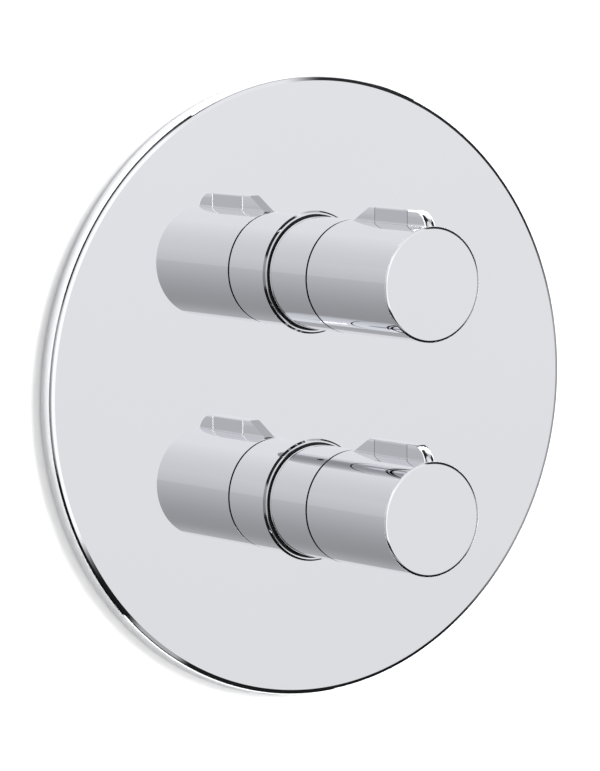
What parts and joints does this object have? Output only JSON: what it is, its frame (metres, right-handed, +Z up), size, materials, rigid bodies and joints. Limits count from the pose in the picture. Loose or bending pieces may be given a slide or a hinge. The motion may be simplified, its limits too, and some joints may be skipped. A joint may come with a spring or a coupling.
{
  "type": "concealed thermostatic shower valve",
  "caption": "Concealed thermostatic shower valve with a round mirror-polished cover plate and two round knobs with lever tabs, one above the other.",
  "frame": {"origin": "middle of the cover plate in the plane of the finished wall", "axes": "+Z up, -Y out of the wall towards the user, +Y into the wall, +X to the right as the user sees it"},
  "size_m": [0.2214, 0.135, 0.2214],
  "materials": {
    "polished_chrome": "mirror-polished chrome plate",
    "cast_brass": "cast and machined",
    "turned_brass": "turned",
    "stainless_steel": "drawn wire and pressed sheet",
    "copper_wax_bulb": "drawn",
    "black_rubber": "moulded",
    "foam_rubber": "closed-cell foam",
    "black_plastic": "moulded",
    "white_plastic": "moulded",
    "grey_plastic": "glass-filled, moulded",
    "white_ceramic": "lapped"
  },
  "bodies": {
    "valve": {"cold_check_housing": "black_plastic", "cold_check_spring": "stainless_steel", "cold_inlet_strainer": "stainless_steel", "cover_plate": "polished_chrome", "flow_bush": "turned_brass", "flow_bush_o_ring": "black_rubber", "flow_disc_seal": "black_rubber", "flow_fixed_disc": "white_ceramic", "flow_stop_ring": "black_plastic", "hot_check_housing": "black_plastic", "hot_check_spring": "stainless_steel", "hot_inlet_strainer": "stainless_steel", "lower_collar_ring": "polished_chrome", "lower_collar_seal": "black_rubber", "lower_sleeve": "polished_chrome", "return_spring": "stainless_steel", "temperature_stop_ring": "black_plastic", "thermostat_end_cap": "grey_plastic", "thermostat_housing": "grey_plastic", "thermostat_o_rings": "black_rubber", "thermostat_retaining_nut": "turned_brass", "upper_collar_ring": "polished_chrome", "upper_collar_seal": "black_rubber", "upper_sleeve": "polished_chrome", "valve_body": "cast_brass", "wall_gasket": "foam_rubber"},
    "flow_control": {"flow_handle": "polished_chrome", "flow_handle_insert": "white_plastic", "flow_grub_screw": "stainless_steel", "flow_spindle": "turned_brass", "flow_spindle_o_ring": "black_rubber", "flow_spindle_clip": "stainless_steel", "flow_moving_disc": "white_ceramic"},
    "temperature_control": {"temperature_handle": "polished_chrome", "temperature_handle_insert": "white_plastic", "temperature_grub_screw": "stainless_steel", "temperature_spindle": "turned_brass", "temperature_spindle_o_ring": "black_rubber", "temperature_spindle_clip": "stainless_steel"},
    "drive": {"drive_nut": "turned_brass", "overload_spring": "stainless_steel", "overload_plunger": "turned_brass", "plunger_retainer": "stainless_steel", "wax_pin": "stainless_steel"},
    "thermo": {"wax_element": "copper_wax_bulb", "shuttle": "stainless_steel", "shuttle_o_ring": "black_rubber"},
    "hot_poppet": {"hot_check_poppet": "white_plastic"},
    "cold_poppet": {"cold_check_poppet": "white_plastic"}
  },
  "joints": [
    {"name": "flow_turn", "type": "hinge", "parent": "valve", "child": "flow_control", "pos_m": [0, 0, 0.0405], "axis": [0, -1, 0], "range_deg": [0, 90]},
    {"name": "temperature_turn", "type": "hinge", "parent": "valve", "child": "temperature_control", "pos_m": [0, 0, -0.0405], "axis": [0, -1, 0], "range_deg": [-135, 45]},
    {"name": "drive_nut_slide", "type": "slide", "parent": "valve", "child": "drive", "axis": [0, 1, 0], "range_m": [-0.0005, 0.0015]},
    {"name": "thermal_stroke", "type": "slide", "parent": "drive", "child": "thermo", "axis": [0, 1, 0], "range_m": [0, 0.001], "stiffness_N_per_m": 400, "springref_m": -0.001, "deforming": ["return_spring"]},
    {"name": "hot_check_slide", "type": "slide", "parent": "valve", "child": "hot_poppet", "axis": [1, 0, 0], "range_m": [0, 0.003], "stiffness_N_per_m": 40, "springref_m": -0.002, "deforming": ["hot_check_spring"]},
    {"name": "cold_check_slide", "type": "slide", "parent": "valve", "child": "cold_poppet", "axis": [-1, 0, 0], "range_m": [0, 0.003], "stiffness_N_per_m": 40, "springref_m": -0.002, "deforming": ["cold_check_spring"]}
  ],
  "couplings": [
    {"joint": "drive_nut_slide", "follows": "temperature_turn", "m_per_rad": -0.00063662}
  ]
}
